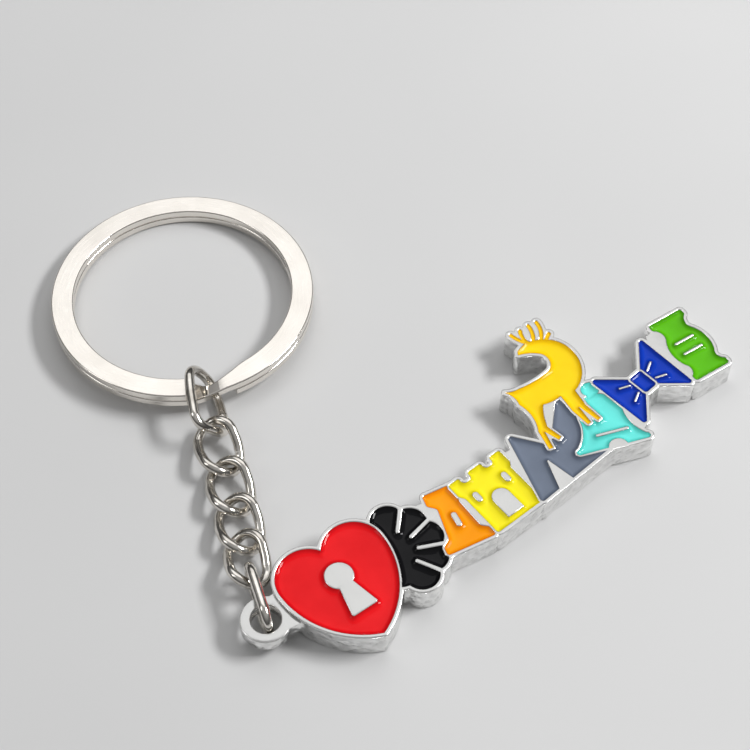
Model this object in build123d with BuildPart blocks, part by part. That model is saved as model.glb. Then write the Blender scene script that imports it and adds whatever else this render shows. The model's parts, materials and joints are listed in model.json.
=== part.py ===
from build123d import *
from math import cos, radians, sin
import os

# Souvenir keychain: a flat split ring, six chain links and a die-cast charm filled with soft enamel.
# Millimetres, +Z up. The charm lies face up on Z = 0 and its row of blocks runs along +X. The origin
# is on the charm's back face, under the middle of its heart.

# --- charm -----------------------------------------------------------------------------------------
CHARM_THICKNESS = 3.4
POCKET_DEPTH = 0.6
ENAMEL_DEPTH = 0.42
RIM = 0.45  # metal left outside the colours
DIVIDER = 0.3  # metal line between two colours
CORNER = 0.3  # outward corners of a colour area
HOLLOW = 0.55  # its inward corners, more than the rim, so that the rim follows them
LUG_CENTRE = (-8.1, -0.2)
LUG_RADIUS = 2.7
LUG_HOLE_RADIUS = 1.6
LUG_NECK = 4.4  # width of the web that joins the lug to the heart
LUG_BOTTOM = 1.25
LUG_TOP = 2.85

# --- chain -----------------------------------------------------------------------------------------
WIRE = 1.1
SEAM = 0.06  # butt joint where each link was closed
JUMP_HEADING = 78.0  # headings are in degrees from +X, each link pointing from the lug to the ring
JUMP_LENGTH = 8.4
JUMP_WIDTH = 4.7
JUMP_BEND = 1.75
JUMP_TIP = -0.95  # from the lug's centre to the wire that passes through its hole
CURB_LENGTH = 7.6
CURB_WIDTH = 5.6
CURB_ROLL = 38.0  # each end of a curb link is rolled this far, one end each way
CURB_BEND = 1.85
# Heading, rise in degrees, height of the end nearer the lug, how far that end laps the link before, and
# how far the middle of each side is bowed outwards.
CURB_LINKS = [
    (72, -6.5, 2.1, 1.75, 0.2),
    (74, 0, 1.36, 1.95, 0.4),
    (75, 0, 1.36, 1.7, 0.4),
    (79, 3.6, 1.5, 1.42, 0.4),
]
RING_LINK = (73, 0.8, 2.52, 1.32, 0.2)
RING_LINK_LENGTH = 8.8
RING_LINK_WIDTH = 5.8
RING_LINK_ROLLS = (46.0, 60.0)
RING_LINK_BENDS = (1.6, 2.2)
BOW_BEND = 5.0  # radius in the middle of a bowed side
SEAM_PLACE = 0.3  # share of the side's last run, from the far end

# --- split ring ------------------------------------------------------------------------------------
RING_OUTER = 15.0
RING_INNER = 12.5
COIL_THICKNESS = 0.92
COIL_GAP = 0.04
COIL_EDGE = 0.18
RING_LINK_REACH = 1.0  # from the ring's inner edge to the centreline of the link's tip
RING_TILT = 3.1  # the ring lies on the ground at its far side and on its link at the near side
# Angles round the ring, anticlockwise from the place where its link hangs.
RAMP_START = -6.0
RAMP_END = 12.0
WAIST = 3.0  # the wire is narrowest here
WAIST_END = 24.0
WAIST_CUT = 1.1  # how much of the width is missing at the waist, on the inside
UPPER_END = -8.0
LOWER_END = 14.0
RAMP_SECTIONS = 11


def turned(origin, angle):
    """A plane parallel to the ground, turned by an angle in degrees about +Z."""
    return Plane(origin=origin, x_dir=(cos(radians(angle)), sin(radians(angle)), 0), z_dir=(0, 0, 1))


def rounded(points, plane, corner=CORNER, hollow=HOLLOW):
    """An anticlockwise polygon on a plane, with its outward and its inward corners rounded."""
    radii = []
    for before, here, after in zip(points[-1:] + points[:-1], points, points[1:] + points[:1]):
        turn = (here[0] - before[0]) * (after[1] - here[1]) - (here[1] - before[1]) * (after[0] - here[0])
        radii.append(corner if turn > 0 else hollow)
    with BuildSketch(plane) as shape:
        with BuildLine():
            FilletPolyline(*points, radius=radii, close=True)
        make_face()
    return shape.sketch


def mirrored(points):
    """Right-hand points of an outline, from bottom to top, followed by their mirror image."""
    return points + [(-x, y) for x, y in reversed(points)]


def grown(sketch, amount):
    """The sketch's own outline moved outwards."""
    return offset(sketch, amount=amount, kind=Kind.ARC, mode=Mode.PRIVATE)


def arcs(*points):
    """Arcs end to end: every second point is a middle point of an arc."""
    for start in range(0, len(points) - 2, 2):
        ThreePointArc(*points[start : start + 3])


# --- the colour areas ------------------------------------------------------------------------------
HEART_PLANE = turned((0.75, 0.2, 0), 5)
HEART_HALF_WIDTH = 6.3
HEART_LOBE = 3.45
HEART_LOBE_HEIGHT = 1.55
HEART_TIP = -8.0


def heart():
    """Two round lobes that run into two long arcs, which meet at the tip."""
    rise = HEART_LOBE_HEIGHT - HEART_TIP
    flank = (HEART_HALF_WIDTH**2 + rise**2) / (2 * HEART_HALF_WIDTH)
    lobe_x = HEART_HALF_WIDTH - HEART_LOBE
    notch = HEART_LOBE_HEIGHT + (HEART_LOBE**2 - lobe_x**2) ** 0.5
    with BuildSketch(HEART_PLANE) as shape:
        with BuildLine():
            RadiusArc((0, HEART_TIP), (HEART_HALF_WIDTH, HEART_LOBE_HEIGHT), -flank)
            ThreePointArc(
                (HEART_HALF_WIDTH, HEART_LOBE_HEIGHT),
                (lobe_x, HEART_LOBE_HEIGHT + HEART_LOBE),
                (0, notch),
            )
            mirror(about=Plane.YZ)
        make_face()
    return shape.sketch


def keyhole():
    """The raised keyhole in the heart."""
    with BuildSketch(turned((0.85, -1.35, 0), 6)) as shape:
        with Locations((0, 1.55)):
            Circle(1.6)
        with BuildLine():
            Polyline((-1.65, -3.2), (1.65, -3.2), (0.65, 1.2), (-0.65, 1.2), close=True)
        make_face()
        fillet(shape.vertices().sort_by(Axis.Y)[:2], 0.25)
    return shape.sketch


SHELL_PLANE = turned((7.1, -0.3, 0), 0)
SHELL_LOBES = 5
SHELL_STEP = 36
LOBE_REACH = 3.75
LOBE_RADIUS = 1.85
SHELL_BODY = 4.15
RIB_REACH = 3.85
RIB_LENGTH = 3.2
RIB_WIDTH = 0.5


def fan(reach, count):
    """Places on an arc round the shell's root, a step apart."""
    spread = SHELL_STEP * (count - 1)
    return PolarLocations(reach, count, start_angle=-spread / 2, angular_range=spread, endpoint=True)


def shell():
    """A fan of lobes; the heart covers its root."""
    with BuildSketch(SHELL_PLANE) as shape:
        Circle(SHELL_BODY)
        with fan(LOBE_REACH, SHELL_LOBES):
            Circle(LOBE_RADIUS)
    return shape.sketch


def shell_ribs():
    """Raised ribs that run from the notches towards the root."""
    with BuildSketch(SHELL_PLANE) as shape:
        with fan(RIB_REACH, SHELL_LOBES - 1):
            SlotOverall(RIB_LENGTH, RIB_WIDTH)
    return shape.sketch


TOWER_PLANE = turned((14.7, 0.2, 0), -3)


def tower():
    """A beacon tower with a wide foot and a flared gallery."""
    half = [(2.85, -3.75), (2.75, -2.75), (1.85, -2.1), (1.2, 1.7), (2.05, 2.45), (1.95, 3.75)]
    return rounded(mirrored(half), TOWER_PLANE)


def tower_window():
    with BuildSketch(TOWER_PLANE) as shape:
        with Locations((0, -0.3)):
            SlotOverall(1.9, 0.7, rotation=90)
    return shape.sketch


CASTLE_PLANE = turned((20.15, 0.55, 0), 9)


def castle():
    """A keep with three merlons."""
    wall = [(3.15, -3.75), (3.15, 1.5), (3.55, 2.1), (3.55, 3.85)]
    merlons = [(2.15, 3.85), (2.15, 2.95), (0.9, 2.95), (0.9, 3.85)]
    return rounded(mirrored(wall + merlons), CASTLE_PLANE, corner=0.25, hollow=0.5)


def castle_gate():
    """The raised gate and two windows."""
    with BuildSketch(CASTLE_PLANE) as shape:
        with Locations((0, -1.9)):
            Rectangle(2.2, 2.4)
        with Locations((0, -0.7)):
            Circle(1.1)
        with Locations((-2.0, 0.9), (2.0, 0.9)):
            SlotOverall(1.4, 0.75, rotation=90)
    return shape.sketch


def mountain():
    """Two peaks on one base."""
    points = [(23.6, -2.85), (34.2, -0.7), (32.2, 7.7), (28.3, 2.6), (24.8, 6.1)]
    return rounded(points, Plane.XY)


def mountain_ravine():
    """The raised sliver between the two peaks."""
    return rounded([(25.9, -3.2), (28.4, -2.7), (26.9, 1.7)], Plane.XY, corner=0.15)


BELL_PLANE = turned((35.1, 2.9, 0), -13)


def bell():
    """A bell with a flared lip and a knob."""
    with BuildSketch(BELL_PLANE) as shape:
        with BuildLine():
            Line((0, -3.85), (3.9, -3.85))
            arcs((3.9, -3.85), (4.2, -3.55), (3.9, -3.25), (2.85, -1.8), (2.45, 0.2), (1.85, 2.2), (0.6, 3.1))
            arcs((0.6, 3.1), (0.95, 4.1), (0, 4.75))
            mirror(about=Plane.YZ)
        make_face()
    return shape.sketch


def bell_clapper():
    """The raised clapper and the band over the lip."""
    with BuildSketch(BELL_PLANE) as shape:
        with Locations((0.4, -4.1)):
            Circle(1.15)
        with Locations((0.4, -2.05)):
            SlotOverall(3.9, 0.42)
    return shape.sketch


BOW_PLANE = turned((41.65, 4.6, 0), 14)
FOLD_REACH = 2.2


def bow():
    """A bow tie: two wings that meet in a knot."""
    half = [(1.0, -1.25), (4.0, -4.1), (4.15, 4.3), (1.0, 1.25)]
    return rounded(mirrored(half), BOW_PLANE)


def bow_knot():
    """The raised frame round the knot, and the folds of the wings."""
    with BuildSketch(BOW_PLANE) as shape:
        RectangleRounded(2.3, 3.0, 0.5)
        RectangleRounded(1.7, 2.4, 0.3, mode=Mode.SUBTRACT)
        for angle in (-24, 24, 156, 204):
            with PolarLocations(FOLD_REACH, 1, start_angle=angle):
                SlotOverall(1.5, 0.3)
    return shape.sketch


VASE_PLANE = turned((48.95, 6.25, 0), 3)


def vase():
    """A vase with a lip, a round belly and a foot."""
    with BuildSketch(VASE_PLANE) as shape:
        with BuildLine():
            Polyline((0, -4.35), (2.3, -4.35), (2.3, -3.65))
            ThreePointArc((2.3, -3.65), (1.75, -2.9), (2.0, -2.05))
            ThreePointArc((2.0, -2.05), (2.4, -0.2), (1.7, 1.8))
            ThreePointArc((1.7, 1.8), (1.6, 2.8), (2.25, 3.6))
            Polyline((2.25, 3.6), (2.25, 4.35), (0, 4.35))
            mirror(about=Plane.YZ)
        make_face()
        lip_and_foot = shape.vertices().filter_by(lambda v: abs(VASE_PLANE.to_local_coords(v.center()).X) > 2)
        fillet(lip_and_foot, 0.28)
    return shape.sketch


def vase_bands():
    with BuildSketch(VASE_PLANE) as shape:
        with Locations((0, 0.75), (0, -0.85)):
            SlotOverall(2.7, 0.36)
    return shape.sketch


NECK = [(31.65, 14.5), (32.9, 14.1), (33.95, 13.4), (34.3, 12.2), (33.4, 11.0)]
BACK = [(33.4, 11.0), (31.3, 10.6), (29.2, 10.6), (28.4, 10.65), (27.65, 10.95)]
RUMP = [(27.65, 10.95), (28.2, 9.9), (28.2, 8.8), (28.6, 6.9), (28.1, 4.8)]
HIND_FEET = [(28.1, 4.8), (27.9, 2.35), (28.35, 2.3), (28.65, 4.5), (29.45, 2.85), (29.85, 3.05), (29.25, 4.85)]
BELLY = [(29.25, 4.85), (29.7, 6.3), (30.4, 7.55), (31.6, 7.4), (32.75, 7.55)]
FORE_FEET = [(32.75, 7.55), (32.8, 5.2), (33.3, 2.95), (33.7, 3.0), (33.65, 5.3), (34.5, 2.85), (34.9, 2.95)]
CHEST = [(34.45, 7.35), (36.55, 9.1), (37.2, 11.8), (36.35, 14.0), (34.2, 15.3)]


def deer():
    """A standing deer that looks back over its shoulder."""
    with BuildSketch() as shape:
        with BuildLine():
            for points in (NECK, BACK, RUMP, BELLY, CHEST):
                arcs(*points)
            Polyline(*HIND_FEET)
            Polyline(*FORE_FEET, (34.45, 5.2), CHEST[0])
            Polyline(CHEST[-1], (33.3, 15.5), (31.85, 14.95), NECK[0])
        make_face()
    return shape.sketch


EAR = Location((35.85, 15.0, 0), (0, 0, 38))
ANTLER_WIDTH = 0.4
ANTLERS = [
    [(34.75, 14.75), (35.6, 15.95), (35.85, 17.3)],
    [(34.1, 15.2), (34.65, 16.3), (34.8, 17.35)],
    [(33.5, 15.3), (33.35, 16.3), (33.6, 17.2)],
    [(33.5, 15.3), (32.75, 16.3), (32.4, 17.2)],
]


def antlers():
    """Four tines, each a curved line of colour with round ends, and the ear."""
    with BuildSketch() as shape:
        for points in ANTLERS:
            with BuildLine() as tine:
                ThreePointArc(*points)
            trace(tine.line, line_width=ANTLER_WIDTH)
            with Locations(points[-1]):
                Circle(ANTLER_WIDTH / 2)
        with Locations(EAR):
            SlotOverall(1.3, 0.42)
    return shape.sketch


def deer_backing():
    """Metal that carries the antlers and closes the space between the legs."""
    with BuildSketch() as shape:
        with BuildLine():
            Polyline((32.5, 17.2), (35.8, 17.3), (36.2, 15.1), (33.4, 15.3), close=True)
        make_face()
        with BuildLine():
            Polyline((28.3, 3.0), (34.5, 3.0), (34.4, 7.6), (30.3, 7.8), (29.0, 5.0), close=True)
        make_face()
    return shape.sketch


def row_backing():
    """Metal that fills the gaps between neighbouring blocks."""
    with BuildSketch() as shape:
        for corners in (
            [(9.0, -3.9), (13.0, -3.9), (13.4, 3.2), (9.0, 4.0)],
            [(15.0, -3.9), (18.6, -3.9), (17.8, 3.3), (15.6, 3.5)],
            [(22.5, -2.9), (25.5, -2.7), (25.5, 4.4), (23.0, 4.4)],
            [(29.0, -1.7), (34.0, -0.9), (34.0, 4.0), (31.5, 4.0)],
            [(36.5, -1.5), (38.9, -0.4), (38.9, 4.6), (36.8, 5.2)],
            [(45.3, 2.2), (48.0, 2.2), (47.9, 9.9), (45.3, 9.5)],
        ):
            with BuildLine():
                Polyline(*corners, close=True)
            make_face()
    return shape.sketch


# Each colour area, with the raised metal inside it. A later area lies over an earlier one.
AREAS = {
    "shell": (shell(), shell_ribs()),
    "tower": (tower(), tower_window()),
    "castle": (castle(), castle_gate()),
    "mountain": (mountain(), mountain_ravine()),
    "bell": (bell(), bell_clapper()),
    "bow": (bow(), bow_knot()),
    "vase": (vase(), vase_bands()),
    "heart": (heart(), keyhole()),
    "deer": (deer(), None),
    "antler": (antlers(), None),
}
JOINED = {("deer", "antler")}  # no metal line between these two colours


def cells(name):
    """What shows of a colour area: less its raised metal, and less the areas over it with their outlines."""
    names = list(AREAS)
    area, raised = AREAS[name]
    with BuildSketch() as shown:
        add(area)
        if raised:
            add(raised, mode=Mode.SUBTRACT)
        for other in names[names.index(name) + 1 :]:
            if (name, other) in JOINED:
                continue
            add(grown(AREAS[other][0], DIVIDER), mode=Mode.SUBTRACT)
        if name == "antler":
            add(AREAS["deer"][0], mode=Mode.SUBTRACT)
    return shown.sketch


CELLS = {name: cells(name) for name in AREAS}


def make_charm_body():
    """The nickel-plated casting: a plate with a raised wall round every colour, and the lug."""
    with BuildPart() as charm_body:
        with BuildSketch():
            for area, _ in AREAS.values():
                add(grown(area, RIM))
            add(deer_backing())
            add(row_backing())
        extrude(amount=CHARM_THICKNESS)
        with BuildSketch(Plane.XY.offset(LUG_BOTTOM)):
            with Locations(LUG_CENTRE):
                Circle(LUG_RADIUS)
                Rectangle(LUG_RADIUS + 1, LUG_NECK, align=(Align.MIN, Align.CENTER))
        extrude(amount=LUG_TOP - LUG_BOTTOM)
        with Locations((*LUG_CENTRE, LUG_TOP)):
            Hole(LUG_HOLE_RADIUS)
        with BuildSketch(Plane.XY.offset(CHARM_THICKNESS)):
            for cell in CELLS.values():
                add(cell.moved(Location((0, 0, CHARM_THICKNESS))))
        extrude(amount=-POCKET_DEPTH, mode=Mode.SUBTRACT)
    charm_body.part.label = "charm_body"
    return charm_body.part


def make_enamel(name):
    """The colour poured into one area's cells; it stands a little below the metal walls."""
    with BuildPart() as enamel:
        with BuildSketch(Plane.XY.offset(CHARM_THICKNESS - POCKET_DEPTH)):
            add(CELLS[name].moved(Location((0, 0, CHARM_THICKNESS - POCKET_DEPTH))))
        extrude(amount=ENAMEL_DEPTH)
    enamel.part.label = f"{name}_enamel"
    return enamel.part


def make_link(label, plane, size, rolls, bends, bow=0.0):
    """A closed wire link along the plane's X. Its near and far end are rolled about X, its sides bowed."""
    reach, half = ((measure - WIRE) / 2 for measure in size)
    stops = []
    for end, roll, bend in zip((-reach, reach), rolls, bends):
        for side in (-half, half):
            stops.append((Vector(end, side * cos(radians(roll)), side * sin(radians(roll))), bend))
    near_right, near_left, far_right, far_left = stops
    loop = [near_right, near_left, far_left, far_right]
    if bow:
        for place, (first, second) in ((2, (near_left, far_left)), (5, (far_right, near_right))):
            middle = (first[0] + second[0]) / 2
            loop.insert(place, (middle + middle.normalized() * bow, BOW_BEND))
    corners = [plane.from_local_coords(corner) for corner, _ in loop]
    last_run = corners[0] - corners[-1]
    seam, side = corners[-1] + last_run * SEAM_PLACE, last_run.normalized()
    start, end = seam + side * SEAM / 2, seam - side * SEAM / 2
    with BuildPart() as link:
        with BuildLine() as centreline:
            FilletPolyline(start, *corners, end, radius=[bend for _, bend in loop])
        with BuildSketch(Plane(origin=start, z_dir=side)):
            Circle(WIRE / 2)
        sweep(path=centreline.line)
    link.part.label = label
    return link.part


def heading(angle, rise=0.0):
    """A unit vector at an angle from +X, climbing by rise degrees."""
    flat = cos(radians(rise))
    return Vector(flat * cos(radians(angle)), flat * sin(radians(angle)), sin(radians(rise)))


def along(point, angle, rise=0.0):
    """A plane at a point with its X along a heading and its Y to the left, level."""
    forward = heading(angle, rise)
    return Plane(origin=point, x_dir=forward, z_dir=Vector(0, 0, 1) - forward * forward.Z)


def link_plane(start, angle, rise, length):
    """The plane of a link that starts at a point, and the centreline point of its far tip."""
    reach = (length - WIRE) / 2
    direction = heading(angle, rise)
    return along(start + direction * reach, angle, rise), start + direction * 2 * reach


def lapped(tip, angle, height, lap):
    """The start of a link that laps the tip of the one before it."""
    start = tip - heading(angle) * lap
    return Vector(start.X, start.Y, height)


def chain_layout():
    """The plane of each link and its near and far end, from the lug to the ring."""
    start = Vector(*LUG_CENTRE, JUMP_WIDTH / 2) + heading(JUMP_HEADING) * JUMP_TIP
    plane, tip = link_plane(start, JUMP_HEADING, 0, JUMP_LENGTH)
    layout = [(plane, start, tip)]
    lengths = [CURB_LENGTH] * len(CURB_LINKS) + [RING_LINK_LENGTH]
    for (angle, rise, height, lap, _), length in zip(CURB_LINKS + [RING_LINK], lengths):
        start = lapped(tip, angle, height, lap)
        plane, tip = link_plane(start, angle, rise, length)
        layout.append((plane, start, tip))
    return layout


LAYOUT = chain_layout()


def find_ring_plane():
    """The split ring's own plane: origin at its centre, X from its link across the ring."""
    tip = LAYOUT[-1][2]
    outward = heading(RING_LINK[0], -RING_TILT)
    centre = tip + outward * (RING_INNER - RING_LINK_REACH)
    half_stack = COIL_THICKNESS + COIL_GAP / 2
    centre.Z = half_stack * cos(radians(RING_TILT)) + RING_OUTER * sin(radians(RING_TILT))
    return Plane(origin=centre, x_dir=outward, z_dir=Vector(0, 0, 1) - outward * outward.Z)


RING_PLANE = find_ring_plane()


def ease(start, end, value):
    """A smooth step from 0 at start to 1 at end."""
    share = min(max((value - start) / (end - start), 0), 1)
    return share * share * (3 - 2 * share)


def coil_section(angle):
    """The wire's section at an angle round the ring, from the coil below over the ramp to the one above."""
    level = (COIL_THICKNESS + COIL_GAP) / 2
    height = level * (2 * ease(RAMP_START, RAMP_END, angle) - 1)
    full = RING_OUTER - RING_INNER
    cut = WAIST_CUT * ease(RAMP_START, WAIST, angle) * (1 - ease(WAIST, WAIST_END, angle))
    turn = radians(180 + angle)
    out = RING_PLANE.x_dir * cos(turn) + RING_PLANE.y_dir * sin(turn)
    centre = RING_PLANE.origin + out * (RING_OUTER - (full - cut) / 2) + RING_PLANE.z_dir * height
    with BuildSketch(Plane(origin=centre, x_dir=out, z_dir=out.cross(RING_PLANE.z_dir))) as section:
        RectangleRounded(full - cut, COIL_THICKNESS, COIL_EDGE)
    return section.sketch


def make_split_ring():
    """A flat wire wound into two coils, joined by a waisted ramp where the chain hangs."""
    axis = Axis(RING_PLANE.origin, RING_PLANE.z_dir)
    step = (WAIST_END - RAMP_START) / (RAMP_SECTIONS - 1)
    ramp = [coil_section(RAMP_START + step * count) for count in range(RAMP_SECTIONS)]
    with BuildPart() as split_ring:
        add(ramp[-1])
        revolve(axis=axis, revolution_arc=UPPER_END - WAIST_END + 360)
        add(ramp[0])
        revolve(axis=axis, revolution_arc=LOWER_END - RAMP_START - 360)
        for section in ramp:
            add(section)
        loft()
    split_ring.part.label = "split_ring"
    return split_ring.part


def main():
    """Make every piece, and print the places that the joints need."""
    os.makedirs("parts", exist_ok=True)
    pieces = [make_charm_body()]
    pieces += [make_enamel(name) for name in AREAS]
    jump_plane, *curb_planes, ring_link_plane = (plane for plane, _, _ in LAYOUT)
    size = (JUMP_LENGTH, JUMP_WIDTH)
    pieces.append(make_link("jump_link", jump_plane, size, (90, 90), (JUMP_BEND, JUMP_BEND)))
    size = (CURB_LENGTH, CURB_WIDTH)
    rolls = (CURB_ROLL, -CURB_ROLL)
    for number, (plane, (*_, bow)) in enumerate(zip(curb_planes, CURB_LINKS), start=1):
        pieces.append(make_link(f"curb_link_{number}", plane, size, rolls, (CURB_BEND, CURB_BEND), bow))
    size = (RING_LINK_LENGTH, RING_LINK_WIDTH)
    bow = RING_LINK[-1]
    pieces.append(make_link("ring_link", ring_link_plane, size, RING_LINK_ROLLS, RING_LINK_BENDS, bow))
    pieces.append(make_split_ring())
    for piece in pieces:
        export_step(piece, f"parts/{piece.label}.step")
    print("ring: centre", RING_PLANE.origin, "axis", RING_PLANE.z_dir)
    for (_, _, tip), (plane, start, _) in zip(LAYOUT, LAYOUT[1:]):
        print("lap: start", start, "middle", (start + tip) / 2, "sideways", plane.y_dir)


main()
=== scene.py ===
"""Looks for the souvenir keychain: a split ring, six chain links and a die-cast charm with soft enamel."""

import json
from math import cos, radians, sin, tan

import bmesh
import bpy
import numpy as np
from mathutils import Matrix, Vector
from mathutils.geometry import delaunay_2d_cdt


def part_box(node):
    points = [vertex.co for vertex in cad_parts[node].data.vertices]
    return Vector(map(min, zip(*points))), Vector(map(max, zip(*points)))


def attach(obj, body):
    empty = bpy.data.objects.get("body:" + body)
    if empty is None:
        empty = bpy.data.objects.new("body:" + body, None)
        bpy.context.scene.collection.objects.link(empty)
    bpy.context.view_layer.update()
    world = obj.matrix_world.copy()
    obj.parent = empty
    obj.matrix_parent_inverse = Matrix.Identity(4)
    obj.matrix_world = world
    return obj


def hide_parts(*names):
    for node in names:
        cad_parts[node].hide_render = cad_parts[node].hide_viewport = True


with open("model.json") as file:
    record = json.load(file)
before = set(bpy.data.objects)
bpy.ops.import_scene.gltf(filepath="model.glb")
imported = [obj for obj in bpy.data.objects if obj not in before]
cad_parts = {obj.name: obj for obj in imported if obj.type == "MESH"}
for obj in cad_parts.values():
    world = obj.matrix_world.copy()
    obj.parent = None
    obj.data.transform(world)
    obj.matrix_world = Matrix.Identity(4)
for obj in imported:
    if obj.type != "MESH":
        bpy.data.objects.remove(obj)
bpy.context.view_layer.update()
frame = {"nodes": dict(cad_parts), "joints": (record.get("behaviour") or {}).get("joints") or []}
nodes = frame["nodes"]

MM = 0.001
WELD = 1e-6

# --- metal rims ------------------------------------------------------------------------------------
RIM_ROUND = 0.12  # how much of each cast edge is rounded off, in millimetres
RIM_STEPS = 3
RIM_CLEARANCE = 0.6  # the share of a rounding that has to stay free beside it
CORNER_LIMIT = 0.25  # keeps the rounding of sharp corners short
EDGE_ANGLE = radians(35)  # sharper than this is an edge
LUG_REACH = -8 * MM  # only the lug is left of this

# --- enamel, in millimetres ------------------------------------------------------------------------
CONTACT_DROP = 0.07  # from the top of the metal walls to where the enamel wets them
MENISCUS_CLIMB = 0.31  # from the level middle of a cell up to its walls
MENISCUS_REACH = 0.36
MENISCUS_POWER = 1.15
WALL_SPACING = 0.18
WALL_ROWS = (0.05, 0.12, 0.21, 0.32, 0.46, 0.64, 0.88)
ROW_SHARE = 0.97  # a row's points are at least this share of its depth from every wall
FILL_SPACING = 0.5
CLOSEST = 0.9 * WALL_ROWS[0]  # between two points
ENAMEL_WAVE = 0.008
ENAMEL_EDGE_ANGLE = radians(50)


# --- camera, light and floor -----------------------------------------------------------------------
VIEW_TARGET = Vector((17.64, 22.15, 0)) * MM
VIEW_AZIMUTH = -30.0
VIEW_ELEVATION = 55.2
VIEW_DISTANCE = 212.6 * MM
VIEW_ANGLE = 22.5
SENSOR = 36.0
FLOOR_HALF = 1.5
FLOOR_GAP = 0.003 * MM
CONTACT_REACH = 8 * FLOOR_GAP  # light that has travelled less than this comes from a resting face

# Name, azimuth, elevation, distance, size and power.
SOFTBOXES = (
    ("overhead", 150, 56, 0.5, (0.5, 0.42), 0.64),
    ("key", 68, 45, 0.5, (0.2, 0.09), 1.95),
    ("fill", 250, 40, 0.6, (0.15, 0.3), 0.3),
)


def direction(azimuth, elevation):
    """A unit vector that points back from the target to a camera or light; azimuth 0 is along -Y."""
    a, e = radians(azimuth), radians(elevation)
    return Vector((sin(a) * cos(e), -cos(a) * cos(e), sin(e)))


def place(name, data):
    """A new object in the scene."""
    placed = bpy.data.objects.new(name, data)
    bpy.context.scene.collection.objects.link(placed)
    return placed


def aim(placed, azimuth, elevation, distance):
    """Puts a camera or light at a distance from the object, facing it."""
    back = direction(azimuth, elevation)
    placed.location = VIEW_TARGET + back * distance
    placed.rotation_euler = (-back).to_track_quat("-Z", "Y").to_euler()


def make_camera():
    camera = bpy.data.cameras.new("camera")
    camera.sensor_width = SENSOR
    camera.lens = SENSOR / 2 / tan(radians(VIEW_ANGLE) / 2)
    camera.clip_start = 0.01
    camera.clip_end = 20
    placed = place("camera", camera)
    aim(placed, VIEW_AZIMUTH, VIEW_ELEVATION, VIEW_DISTANCE)
    bpy.context.scene.camera = placed


def make_softbox(name, azimuth, elevation, distance, size, power):
    """A rectangular area light that faces the object."""
    light = bpy.data.lights.new(name, "AREA")
    light.shape = "RECTANGLE"
    light.size, light.size_y = size
    light.energy = power
    aim(place(name, light), azimuth, elevation, distance)


class Shader:
    """Adds and links the nodes of one material or of the world."""

    def __init__(self, owner):
        owner.use_nodes = True
        self.tree = owner.node_tree
        self.tree.nodes.clear()

    def feed(self, socket, value):
        """Gives an input a value, or the link to another node's output."""
        if isinstance(value, bpy.types.NodeSocket):
            self.tree.links.new(value, socket)
        else:
            socket.default_value = value

    def add(self, kind, settings=None, numbered=None, **inputs):
        """A node; inputs are given by number, or by their names with _ for a space."""
        node = self.tree.nodes.new("ShaderNode" + kind)
        for key, value in (settings or {}).items():
            setattr(node, key, value)
        for index, value in (numbered or {}).items():
            self.feed(node.inputs[index], value)
        for key, value in inputs.items():
            self.feed(node.inputs[key.replace("_", " ")], value)
        return node

    def mix(self, factor, first, second):
        """Two colours mixed."""
        return self.add("Mix", {"data_type": "RGBA"}, {0: factor, 6: first, 7: second}).outputs[2]

    def mix_shaders(self, factor, first, second):
        return self.add("MixShader", numbered={0: factor, 1: first, 2: second}).outputs[0]

    def noise(self, vector, scale, detail=2.0):
        """Noise from 0 to 1, at a number of features per metre."""
        return self.add("TexNoise", Vector=vector, Scale=scale, Detail=detail).outputs["Fac"]

    def spread(self, value, low, high, source=(0.3, 0.7)):
        """A value's source range stretched over low to high."""
        ends = {"From_Min": source[0], "From_Max": source[1], "To_Min": low, "To_Max": high}
        return self.add("MapRange", Value=value, **ends).outputs["Result"]

    def math(self, operation, first, second=0.0):
        return self.add("Math", {"operation": operation}, {0: first, 1: second}).outputs[0]

    def vector(self, operation, output, *values):
        """A vector sum; output names the result that is wanted."""
        return self.add("VectorMath", {"operation": operation}, dict(enumerate(values))).outputs[output]

    def bump(self, height, distance, normal=None):
        under = {"Normal": normal} if normal else {}
        return self.add("Bump", Height=height, Distance=distance, Strength=1.0, **under).outputs["Normal"]

    def output(self, shader, kind="OutputMaterial"):
        self.tree.links.new(shader, self.add(kind).inputs["Surface"])


def grey(value):
    return (value, value, value, 1)


def make_world():
    """A studio room: dim walls and a brighter ceiling, and as much light below for the undersides."""
    world = bpy.data.worlds.new("studio")
    bpy.context.scene.world = world
    shader = Shader(world)
    up = shader.add("SeparateXYZ", Vector=shader.add("TexCoord").outputs["Generated"]).outputs["Z"]
    ramp = shader.add("ValToRGB", Fac=shader.math("ABSOLUTE", up))
    ramp.color_ramp.elements[0].color = grey(0.05)
    ramp.color_ramp.elements[1].position = 0.9
    ramp.color_ramp.elements[1].color = grey(0.42)
    ramp.color_ramp.elements.new(0.35).color = grey(0.11)
    back = shader.add("Background", Color=ramp.outputs["Color"], Strength=1.0)
    shader.output(back.outputs["Background"], "OutputWorld")


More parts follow.
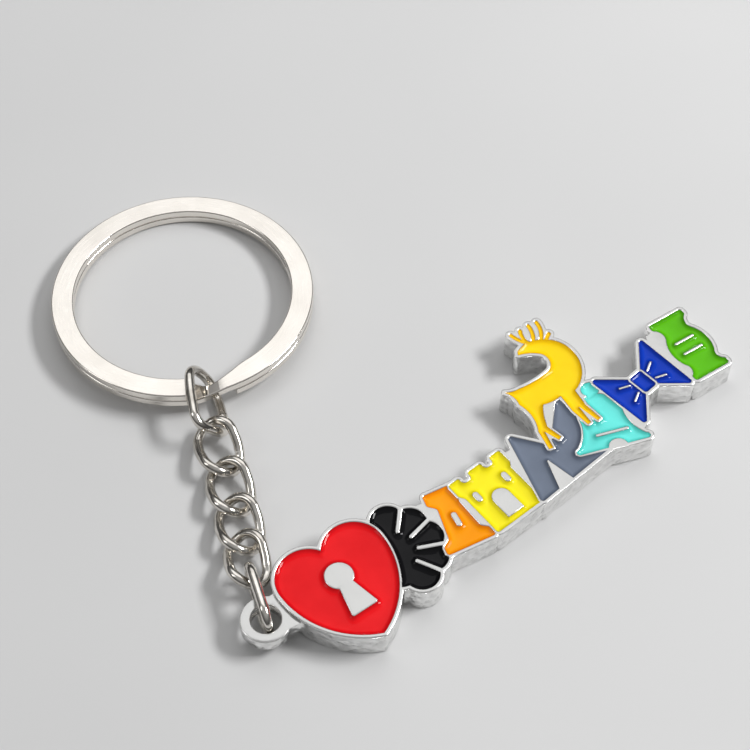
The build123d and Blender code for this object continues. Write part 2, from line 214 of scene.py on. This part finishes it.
def make_floor():
    """A plain pale floor that is clear from below, and to the light of the faces that rest on it."""
    mesh = bpy.data.meshes.new("floor")
    sides = ((-1, -1), (1, -1), (1, 1), (-1, 1))
    mesh.from_pydata([(x * FLOOR_HALF, y * FLOOR_HALF, -FLOOR_GAP) for x, y in sides], [], [(0, 1, 2, 3)])
    floor = place("floor", mesh)
    material = bpy.data.materials.new("pale_floor")
    shader = Shader(material)
    where = shader.add("TexCoord").outputs["Object"]
    tone = shader.spread(shader.noise(where, 14), 0.61, 0.65)
    colour = shader.add("CombineColor", Red=tone, Green=tone, Blue=tone).outputs["Color"]
    matt = shader.add("BsdfPrincipled", Base_Color=colour, Roughness=0.75)
    clear = shader.add("BsdfTransparent")
    below = shader.add("NewGeometry").outputs["Backfacing"]
    close = shader.math("LESS_THAN", shader.add("LightPath").outputs["Ray Length"], CONTACT_REACH)
    below = shader.math("MAXIMUM", below, close)
    shader.output(shader.mix_shaders(below, matt.outputs[0], clear.outputs[0]))
    mesh.materials.append(material)


# --- plane geometry, in millimetres ----------------------------------------------------------------
def wall_distance(points, edges):
    """How far each point is from the nearest edge."""
    start, run = edges[:, 0], edges[:, 1] - edges[:, 0]
    away = points[:, None] - start[None]
    share = np.clip((away * run).sum(2) / (run * run).sum(1), 0, 1)
    return np.linalg.norm(away - share[:, :, None] * run, axis=2).min(1)


def inside(points, edges):
    """Whether each point is enclosed by the edges."""
    x, y = points[:, :1], points[:, 1:]
    (x0, y0), (x1, y1) = edges[:, 0].T, edges[:, 1].T
    crossed = (y0 > y) != (y1 > y)
    with np.errstate(divide="ignore", invalid="ignore"):
        at = x0 + (y - y0) * (x1 - x0) / (y1 - y0)
    return (crossed & (x < at)).sum(1) % 2 == 1


# --- metal -----------------------------------------------------------------------------------------
def cast_nickel():
    """Nickel over a die casting: satin tops, flanks rough as cast with painted shade in their pits, a
    grainy back and edges lightened by a painted highlight.
    """
    material = bpy.data.materials.new("cast_nickel")
    shader = Shader(material)
    where = shader.add("TexCoord").outputs["Object"]
    facing = shader.add("SeparateXYZ", Vector=shader.add("TexCoord").outputs["Normal"]).outputs["Z"]
    flank = shader.spread(shader.math("ABSOLUTE", facing), 1, 0, (0.05, 0.25))
    level = shader.spread(shader.math("ABSOLUTE", facing), 0, 1, (0.93, 0.99))
    back = shader.math("LESS_THAN", facing, -0.5)
    cloud = shader.noise(where, 320, 4)
    satin = shader.mix(cloud, (0.47, 0.47, 0.465, 1), (0.55, 0.55, 0.54, 1))
    # Painted highlight: the rounded edges get a far lighter metal tone than the flat tops, so the rims show
    # a bright line.
    painted_rim_highlight = shader.mix(cloud, (0.86, 0.855, 0.84, 1), (0.96, 0.955, 0.945, 1))
    crust = shader.noise(where, 1300, 3)
    raised = shader.spread(crust, 0, 1, (0.3, 0.62))
    # Painted shade and painted glints: the flank colour is darker in the pits of the crust bump and lighter
    # on its raised grains.
    pit_shade_and_glint = shader.mix(raised, (0.70, 0.70, 0.695, 1), (0.92, 0.92, 0.91, 1))
    tone = shader.mix(level, painted_rim_highlight, satin)
    tone = shader.mix(flank, tone, pit_shade_and_glint)
    plated = shader.spread(shader.noise(where, 2600, 3), 0.12, 0.2)
    rough = shader.mix(shader.math("MAXIMUM", level, flank), grey(0.26), plated)
    normal = shader.bump(shader.math("MULTIPLY", crust, flank), 0.24 * MM)
    grain = shader.math("MULTIPLY", shader.noise(where, 5200, 2), back)
    normal = shader.bump(grain, 0.05 * MM, normal)
    normal = shader.bump(shader.noise(where, 9000, 2), 0.0015 * MM, normal)
    metal = shader.add("BsdfPrincipled", Base_Color=tone, Metallic=1.0, Roughness=rough, Normal=normal)
    shader.output(metal.outputs["BSDF"])
    return material


def wire_nickel():
    """Bright nickel on drawn wire: faint dents, soft smears and a warmer tone in places."""
    material = bpy.data.materials.new("wire_nickel")
    shader = Shader(material)
    where = shader.add("TexCoord").outputs["Object"]
    smear = shader.noise(where, 520, 4)
    tone = shader.mix(shader.spread(smear, 0, 1), (0.52, 0.49, 0.445, 1), (0.84, 0.81, 0.76, 1))
    rough = shader.spread(shader.noise(where, 900, 4), 0.08, 0.2)
    normal = shader.bump(shader.noise(where, 650, 2), 0.02 * MM)
    normal = shader.bump(shader.noise(where, 7000, 3), 0.002 * MM, normal)
    metal = shader.add("BsdfPrincipled", Base_Color=tone, Metallic=1.0, Roughness=rough, Normal=normal)
    shader.output(metal.outputs["BSDF"])
    return material


def ring_nickel(centre, axis):
    """Satin nickel faces with fine turning marks round the ring, and polished edges."""
    material = bpy.data.materials.new("ring_nickel")
    shader = Shader(material)
    where = shader.add("TexCoord").outputs["Object"]
    radius = shader.vector("LENGTH", "Value", shader.vector("SUBTRACT", "Vector", where, centre))
    turning = shader.add("CombineXYZ", X=radius).outputs["Vector"]
    broken = shader.vector("MULTIPLY_ADD", "Vector", where, (0.04, 0.04, 0.04), turning)
    marks = shader.noise(broken, 16000, 3)
    facing = shader.vector("DOT_PRODUCT", "Value", shader.add("TexCoord").outputs["Normal"], axis)
    flat = shader.math("GREATER_THAN", shader.math("ABSOLUTE", facing), 0.97)
    cloud = shader.noise(where, 260, 4)
    tone = shader.mix(shader.spread(cloud, 0, 1), (0.81, 0.77, 0.715, 1), (0.90, 0.86, 0.805, 1))
    satin = shader.spread(marks, 0.24, 0.36)
    polished = shader.spread(cloud, 0.06, 0.14)
    rough = shader.mix(flat, polished, satin)
    normal = shader.bump(shader.math("MULTIPLY", marks, flat), 0.0015 * MM)
    normal = shader.bump(shader.noise(where, 500, 2), 0.012 * MM, normal)
    metal = shader.add("BsdfPrincipled", Base_Color=tone, Metallic=1.0, Roughness=rough, Normal=normal)
    shader.output(metal.outputs["BSDF"])
    return material


def dress(node, material):
    """A CAD node keeps its shape and gets a better material."""
    node.data.materials.clear()
    node.data.materials.append(material)


def flat_region(mesh, level, up):
    """The faces of a welded mesh that lie at a height and face up or down, and the edges round them."""
    region = [f for f in mesh.faces if f.normal.z * up > 0.99 and abs(f.verts[0].co.z - level) < WELD]
    members = set(region)
    border = {}
    for face in region:
        for loop in face.loops:
            others = [other for other in loop.edge.link_faces if other not in members]
            if others:
                border[loop.vert] = (loop.link_loop_next.vert, others[0].normal.copy())
    return region, border


def welded(node):
    """A node's mesh with its seams closed."""
    mesh = bmesh.new()
    mesh.from_mesh(node.data)
    bmesh.ops.remove_doubles(mesh, verts=mesh.verts, dist=WELD)
    mesh.normal_update()
    return mesh


def triangles_inside(points, ring):
    """Triangles that fill the closed outlines, and the places where outlines cross."""
    flat, _, triangles, source, *_ = delaunay_2d_cdt([Vector(point) for point in points], ring, [], 0, 1e-7)
    crossings = [place for place, given in zip(flat, source) if len(given) != 1]
    if crossings:
        return [], np.array(crossings, float)
    corners = np.array([[source[i][0] for i in triangle] for triangle in triangles])
    edges = np.array([[points[a], points[b]] for a, b in ring], float)
    return corners[inside(points[corners].mean(1), edges)].tolist(), []


def corner_shifts(border, up):
    """How far each corner of a border moves inwards, in millimetres; only outward edges are rounded."""
    before = {after: vert for vert, (after, _) in border.items()}
    inward, convex = {}, {}
    for vert, (after, wall) in border.items():
        run = (after.co - vert.co).normalized()
        inward[vert] = Vector((-run.y, run.x)) * up
        convex[vert] = inward[vert].dot(wall.xy) < -0.5
    shift = np.zeros((len(border), 2))
    for i, vert in enumerate(border):
        first, second = inward[before[vert]], inward[vert]
        if convex[before[vert]] and convex[vert]:
            shift[i] = (first + second) / max(1 + first.dot(second), CORNER_LIMIT) * RIM_ROUND
    return shift


def fit_shifts(start, shift, ring):
    """Cuts the shifts down where walls are too thin for them; also gives triangles inside the rims."""
    edges = np.array([[start[a], start[b]] for a, b in ring], float)
    for _ in range(4):
        size = np.linalg.norm(shift, axis=1)
        tight = wall_distance(start + shift, edges) < RIM_CLEARANCE * np.minimum(size, RIM_ROUND)
        shift[tight] /= 2
    corners, crossings = triangles_inside(start + shift, ring)
    while len(crossings):
        near = np.linalg.norm(start[:, None] - crossings[None], axis=2).min(1) < 3 * RIM_ROUND
        shift[near] *= 0.5 if np.abs(shift[near]).max() > 0.1 * RIM_ROUND else 0
        corners, crossings = triangles_inside(start + shift, ring)
    return shift, corners


def round_flat(mesh, level, up):
    """Rounds off the outward edges of one level of the casting."""
    region, border = flat_region(mesh, level, up)
    verts = list(border)
    index = {vert: i for i, vert in enumerate(verts)}
    ring = [(i, index[border[vert][0]]) for i, vert in enumerate(verts)]
    start = np.array([vert.co.xy for vert in verts], float) / MM
    shift, corners = fit_shifts(start, corner_shifts(border, up), ring)
    drop = np.minimum(1, np.linalg.norm(shift, axis=1) / RIM_ROUND) * RIM_ROUND
    bmesh.ops.delete(mesh, geom=region, context="FACES_ONLY")
    rings = [verts]
    for step in range(1, RIM_STEPS + 1):
        angle = radians(90) * step / RIM_STEPS
        flat = (start + shift * (1 - cos(angle))) * MM
        heights = level - up * drop * (1 - sin(angle)) * MM
        rings.append([mesh.verts.new((x, y, z)) for (x, y), z in zip(flat, heights)])
    for vert, fall in zip(verts, drop):
        vert.co.z = level - up * fall * MM
    for lower, upper in zip(rings, rings[1:]):
        for a, b in ring:
            mesh.faces.new((lower[a], lower[b], upper[b], upper[a]))
    for corner in corners:
        face = [rings[-1][i] for i in corner]
        mesh.faces.new(face if up > 0 else face[::-1])
    mesh.normal_update()


def stand_in(name, mesh, edge_angle, material, node_name):
    """A finished piece of the charm in the place of a CAD node."""
    data = bpy.data.meshes.new(name)
    mesh.to_mesh(data)
    mesh.free()
    data.shade_smooth()
    data.set_sharp_from_angle(angle=edge_angle)
    data.materials.append(material)
    piece = place(name, data)
    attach(piece, "charm")
    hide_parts(node_name)
    return piece


def make_casting():
    """The casting with its edges rounded, as plating and tumbling leave them."""
    mesh = welded(nodes["charm_body"])
    low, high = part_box("charm_body")
    lug = [f.verts[0].co for f in mesh.faces if abs(f.normal.z) > 0.99 and f.verts[0].co.x < LUG_REACH]
    lug = {round(corner.z, 7) for corner in lug}
    for level, up in ((high.z, 1), (low.z, -1), (max(lug), 1), (min(lug), -1)):
        round_flat(mesh, level, up)
    piece = stand_in("charm_casting", mesh, EDGE_ANGLE, cast_nickel(), "charm_body")
    piece.modifiers.new("level", "WEIGHTED_NORMAL").keep_sharp = True


# --- enamel ----------------------------------------------------------------------------------------
def enamel_paint(name, colour, wall_shade):
    """Glossy soft enamel: faint pigment clouds, and painted shade, a darker tone, where it climbs the
    walls.
    """
    material = bpy.data.materials.new(name)
    shader = Shader(material)
    where = shader.add("TexCoord").outputs["Object"]
    clouds = shader.spread(shader.noise(where, 240, 3), 0, 1)
    light = tuple(min(1, channel * 1.05 + 0.004) for channel in colour) + (1,)
    dark = tuple(channel * 0.92 for channel in colour) + (1,)
    tone = shader.mix(clouds, dark, light)
    wall = shader.add("Attribute", {"attribute_name": "wall"}).outputs["Fac"]
    climb = shader.spread(wall, 1, 0, (0.0, 0.45))
    # Painted shade: towards the metal walls the colour darkens to the wall shade tone, as if the walls
    # shaded the enamel beside them.
    tone = shader.mix(shader.math("MULTIPLY", climb, 0.6), tone, wall_shade + (1,))
    rough = shader.spread(shader.noise(where, 1800, 3), 0.04, 0.1)
    normal = shader.bump(shader.noise(where, 700, 2), 0.006 * MM)
    gloss = {"Roughness": rough, "Normal": normal, "Specular_IOR_Level": 0.12}
    paint = shader.add("BsdfPrincipled", Base_Color=tone, **gloss)
    shader.output(paint.outputs["BSDF"])
    return material


def top_outline(node):
    """The directed edges round a node's flat top, in millimetres, with the enamel on their left."""
    mesh = welded(node)
    edges = []
    for face in mesh.faces:
        if face.normal.z < 0.9:
            continue
        for loop in face.loops:
            if any(other.normal.z < 0.9 for other in loop.edge.link_faces):
                edges.append([loop.vert.co.xy / MM, loop.link_loop_next.vert.co.xy / MM])
    mesh.free()
    return np.array(edges, float)


def stops_along(run):
    """How many equal parts a wall's edge is cut into."""
    return max(1, round(np.linalg.norm(run) / WALL_SPACING))


def enamel_points(edges):
    """Points along the walls, and points in rows beside them and over the middle."""
    wall, rows = [], []
    for start, end in edges:
        run = end - start
        inward = np.array((-run[1], run[0])) / np.linalg.norm(run)
        pieces = stops_along(run)
        for step in range(pieces):
            wall.append(start + run * step / pieces)
            middle = start + run * (step + 0.5) / pieces
            rows += [(middle + inward * depth, depth) for depth in WALL_ROWS]
    points = np.array([point for point, _ in rows])
    depths = np.array([depth for _, depth in rows])
    rows = points[(wall_distance(points, edges) > ROW_SHARE * depths) & inside(points, edges)]
    low, high = edges.min((0, 1)), edges.max((0, 1))
    lines = [np.arange(a, b, FILL_SPACING) for a, b in zip(low, high)]
    grid = np.stack(np.meshgrid(*lines), -1).reshape(-1, 2)
    grid = grid[inside(grid, edges)]
    grid = grid[wall_distance(grid, edges) > WALL_ROWS[-1] + FILL_SPACING / 2]
    return wall, np.concatenate([rows, grid])


def wall_ring(edges, wall):
    """The closed outlines, as pairs of numbers of points along the walls."""
    order = {tuple(np.round(point, 6)): index for index, point in enumerate(wall)}
    ring = []
    for start, end in edges:
        run = end - start
        pieces = stops_along(run)
        stops = [order[tuple(np.round(start + run * step / pieces, 6))] for step in range(pieces)]
        stops.append(order[tuple(np.round(end, 6))])
        ring += list(zip(stops, stops[1:]))
    return ring


def thinned(points, kept, spacing):
    """Points that keep a distance from each other, the kept ones first."""
    cells, result = {}, []
    for point in [*kept, *points]:
        key = tuple(np.floor(point / spacing).astype(int))
        around = [(key[0] + i, key[1] + j) for i in (-1, 0, 1) for j in (-1, 0, 1)]
        near = [other for cell in around for other in cells.get(cell, ())]
        if len(result) < len(kept) or all(np.linalg.norm(point - other) >= spacing for other in near):
            cells.setdefault(key, []).append(point)
            result.append(point)
    return np.array(result)


def enamel_surface(edges, metal_top):
    """The enamel's top in millimetres, each point's distance from the walls, and its triangles."""
    wall, field = enamel_points(edges)
    points = [Vector(point) for point in thinned(field, wall, CLOSEST)]
    flat, _, triangles, *_ = delaunay_2d_cdt(points, wall_ring(edges, wall), [], 0, 1e-6)
    flat = np.array(flat)
    corners = np.array([list(triangle) for triangle in triangles])
    corners = corners[inside(flat[corners].mean(1), edges)].tolist()
    distance = wall_distance(flat, edges)
    level = metal_top / MM - CONTACT_DROP - MENISCUS_CLIMB
    climb = MENISCUS_CLIMB * np.exp(-((distance / MENISCUS_REACH) ** MENISCUS_POWER))
    wave = ENAMEL_WAVE * np.sin(flat[:, 0] * 1.1 + 0.4) * np.sin(flat[:, 1] * 0.9) * (1 - np.exp(-distance))
    return np.column_stack([flat, level + climb + wave]), distance, corners


def pour_enamel(name, metal_top, material):
    """Enamel in its cells, level in the middle and drawn up the metal walls by surface tension."""
    surface, distance, corners = enamel_surface(top_outline(nodes[name]), metal_top)
    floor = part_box(name)[0].z
    mesh = bmesh.new()
    tag = mesh.verts.layers.float.new("wall")
    top = [mesh.verts.new((x * MM, y * MM, z * MM)) for x, y, z in surface]
    bottom = [mesh.verts.new((x * MM, y * MM, floor)) for x, y, _ in surface]
    for a, b, c in corners:
        mesh.faces.new((top[a], top[b], top[c]))
        mesh.faces.new((bottom[c], bottom[b], bottom[a]))
    sides = {(a, b) for corner in corners for a, b in zip(corner, corner[1:] + corner[:1])}
    for a, b in sorted(sides):
        if (b, a) not in sides:
            mesh.faces.new((top[b], top[a], bottom[a], bottom[b]))
    for vert, value in zip(top, distance):
        vert[tag] = value
    loose = [vert for vert in mesh.verts if not vert.link_faces]
    bmesh.ops.delete(mesh, geom=loose, context="VERTS")
    stand_in(name + "_poured", mesh, ENAMEL_EDGE_ANGLE, material, name)


# Each enamel's colour, and its darker tone beside the walls, which is painted shade.
PAINTS = {
    "red_enamel": ((0.80, 0.006, 0.010), (0.40, 0.0, 0.004)),
    "black_enamel": ((0.003, 0.003, 0.004), (0.001, 0.001, 0.001)),
    "orange_enamel": ((1.0, 0.33, 0.0), (0.72, 0.13, 0.0)),
    "yellow_enamel": ((0.95, 0.83, 0.013), (0.6, 0.5, 0.0)),
    "grey_enamel": ((0.155, 0.185, 0.245), (0.06, 0.075, 0.11)),
    "turquoise_enamel": ((0.14, 0.76, 0.70), (0.03, 0.42, 0.35)),
    "blue_enamel": ((0.003, 0.04, 0.45), (0.001, 0.008, 0.16)),
    "green_enamel": ((0.10, 0.47, 0.004), (0.035, 0.22, 0.001)),
    "amber_enamel": ((1.0, 0.66, 0.003), (0.75, 0.33, 0.0)),
}


def dress_keychain():
    """Every CAD node gets its finish, and poured enamel stands for the CAD enamels."""
    metal_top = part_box("charm_body")[1].z
    spin = next(joint for joint in frame["joints"] if joint["name"] == "ring_spin")
    wire = wire_nickel()
    make_casting()
    dress(nodes["split_ring"], ring_nickel(spin["pos_m"], spin["axis"]))
    for name, node in nodes.items():
        if name.endswith("_link") or "_link_" in name:
            dress(node, wire)
    paints = {slot: enamel_paint(slot + "_paint", *colours) for slot, colours in PAINTS.items()}
    for name, node in list(nodes.items()):
        if name.endswith("_enamel"):
            slot = node.material_slots[0].name.split(".")[0]
            pour_enamel(name, metal_top, paints[slot])


make_camera()
make_world()
make_floor()
for softbox in SOFTBOXES:
    make_softbox(*softbox)
bpy.context.scene.view_settings.view_transform = "Standard"
dress_keychain()
